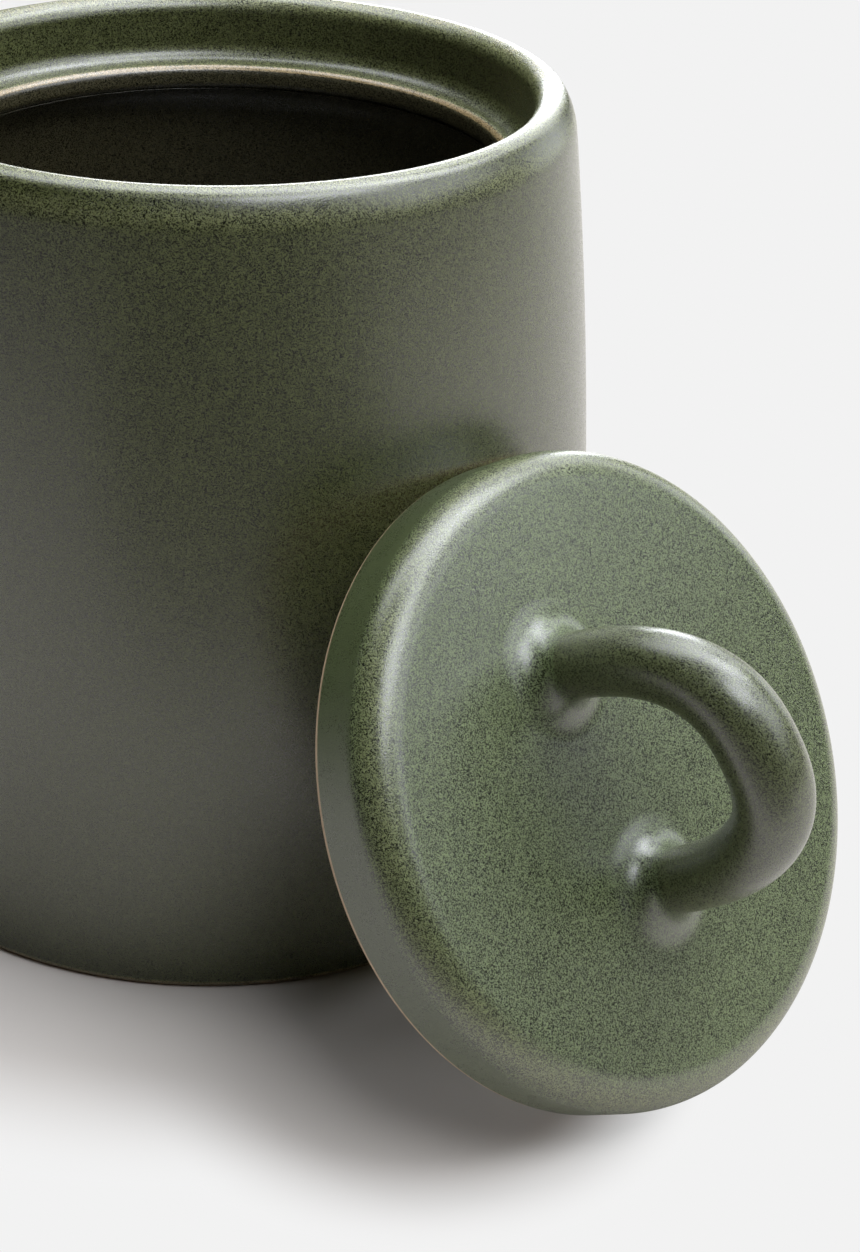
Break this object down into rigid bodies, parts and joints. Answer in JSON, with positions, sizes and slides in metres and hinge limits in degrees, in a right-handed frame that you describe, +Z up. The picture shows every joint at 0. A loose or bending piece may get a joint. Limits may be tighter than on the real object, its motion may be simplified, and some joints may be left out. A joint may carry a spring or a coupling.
{
  "type": "kitchen storage jar",
  "caption": "Round stoneware storage jar with an inner ledge, and a thick drop-in lid with a loop handle, taken off and leaning on the jar.",
  "frame": {"origin": "centre of the jar's foot, on the jar's axis, at the surface that it stands on", "axes": "+Z up along the jar's axis; +X points from the jar towards the leaning lid, and the lid's own axis lies in a plane parallel to XZ"},
  "size_m": [0.2337, 0.1524, 0.1565],
  "materials": {
    "jar_glaze": "satin",
    "lid_glaze": "satin",
    "handle_glaze": "satin",
    "fillet_glaze": "satin"
  },
  "bodies": {
    "jar": {"jar_body": "jar_glaze"},
    "lid": {"lid_cap": "lid_glaze", "loop_handle": "handle_glaze", "handle_fillet_upper": "fillet_glaze", "handle_fillet_lower": "fillet_glaze"}
  },
  "joints": [
    {"name": "lid_lift", "type": "slide", "parent": "jar", "child": "lid", "axis": [0, 0, 1], "range_m": [0, 0.2]}
  ]
}
